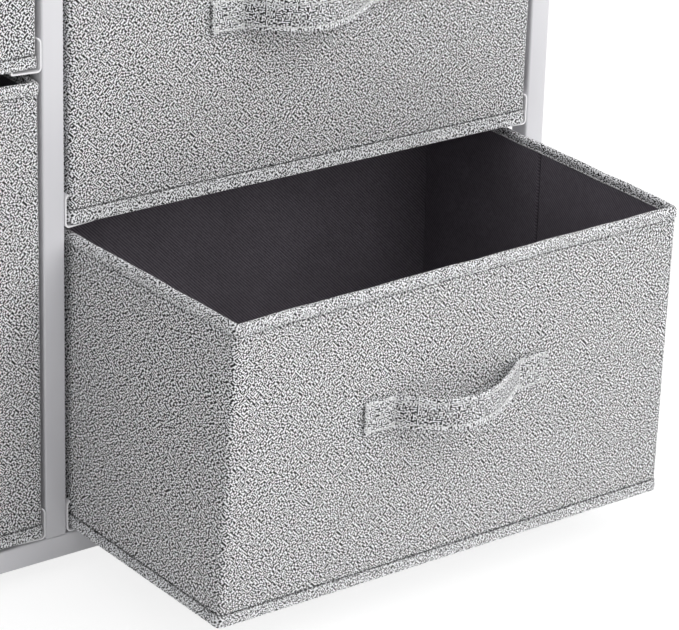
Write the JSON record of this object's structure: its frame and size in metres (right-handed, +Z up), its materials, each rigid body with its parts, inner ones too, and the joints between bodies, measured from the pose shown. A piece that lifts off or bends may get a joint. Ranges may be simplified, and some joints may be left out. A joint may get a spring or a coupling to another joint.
{
  "type": "fabric drawer dresser",
  "caption": "Wide steel-tube dresser with soft fabric drawers in two columns that slide on bent sheet runners, a board top and loop handles.",
  "frame": {"origin": "on the floor, under the middle of the box round the whole unit with its bottom right drawer standing open", "axes": "+X to the right seen from the front, along the width; +Y towards the back, along the depth; +Z up"},
  "size_m": [0.808, 0.5, 0.704],
  "materials": {
    "frame_white": "satin powder coat",
    "board_white": "matt laminate",
    "zinc_steel": "zinc plated",
    "white_plastic": "moulded",
    "grey_fabric": "heathered linen-look weave",
    "strap_fabric": "heathered linen-look weave",
    "dark_lining": "fine twill"
  },
  "bodies": {
    "root": {"front_left_post": "frame_white", "front_middle_post": "frame_white", "front_right_post": "frame_white", "front_bottom_rail": "frame_white", "front_top_rail": "frame_white", "rear_left_post": "frame_white", "rear_middle_post": "frame_white", "rear_right_post": "frame_white", "rear_bottom_rail": "frame_white", "rear_top_rail": "frame_white", "left_bottom_depth_rail": "frame_white", "left_top_depth_rail": "frame_white", "middle_bottom_depth_rail": "frame_white", "middle_top_depth_rail": "frame_white", "right_bottom_depth_rail": "frame_white", "right_top_depth_rail": "frame_white", "top_board": "board_white", "board_screw_front_1": "zinc_steel", "board_screw_front_2": "zinc_steel", "board_screw_rear_1": "zinc_steel", "board_screw_rear_2": "zinc_steel", "board_screw_left": "zinc_steel", "front_left_foot": "white_plastic", "front_left_foot_plug": "white_plastic", "rear_left_foot": "white_plastic", "rear_left_foot_plug": "white_plastic", "board_screw_right": "zinc_steel", "front_right_foot": "white_plastic", "front_right_foot_plug": "white_plastic", "rear_right_foot": "white_plastic", "rear_right_foot_plug": "white_plastic", "lower_left_drawer_runner_left": "frame_white", "lower_left_drawer_runner_right": "frame_white", "upper_left_drawer_runner_left": "frame_white", "upper_left_drawer_runner_right": "frame_white", "bottom_right_drawer_runner_left": "frame_white", "bottom_right_drawer_runner_right": "frame_white", "middle_right_drawer_runner_left": "frame_white", "middle_right_drawer_runner_right": "frame_white", "top_right_drawer_runner_left": "frame_white", "top_right_drawer_runner_right": "frame_white"},
    "lower_left_drawer": {"lower_left_drawer_shell": "grey_fabric", "lower_left_drawer_base_board": "dark_lining", "lower_left_drawer_handle": "strap_fabric"},
    "upper_left_drawer": {"upper_left_drawer_shell": "grey_fabric", "upper_left_drawer_base_board": "dark_lining", "upper_left_drawer_handle": "strap_fabric"},
    "bottom_right_drawer": {"bottom_right_drawer_shell": "grey_fabric", "bottom_right_drawer_base_board": "dark_lining", "bottom_right_drawer_handle": "strap_fabric"},
    "middle_right_drawer": {"middle_right_drawer_shell": "grey_fabric", "middle_right_drawer_base_board": "dark_lining", "middle_right_drawer_handle": "strap_fabric"},
    "top_right_drawer": {"top_right_drawer_shell": "grey_fabric", "top_right_drawer_base_board": "dark_lining", "top_right_drawer_handle": "strap_fabric"}
  },
  "joints": [
    {"name": "lower_left_drawer_slide", "type": "slide", "parent": "root", "child": "lower_left_drawer", "axis": [0, -1, 0], "range_m": [0, 0.2]},
    {"name": "upper_left_drawer_slide", "type": "slide", "parent": "root", "child": "upper_left_drawer", "axis": [0, -1, 0], "range_m": [0, 0.2]},
    {"name": "bottom_right_drawer_slide", "type": "slide", "parent": "root", "child": "bottom_right_drawer", "axis": [0, -1, 0], "range_m": [-0.172, 0.028]},
    {"name": "middle_right_drawer_slide", "type": "slide", "parent": "root", "child": "middle_right_drawer", "axis": [0, -1, 0], "range_m": [0, 0.2]},
    {"name": "top_right_drawer_slide", "type": "slide", "parent": "root", "child": "top_right_drawer", "axis": [0, -1, 0], "range_m": [0, 0.2]}
  ]
}
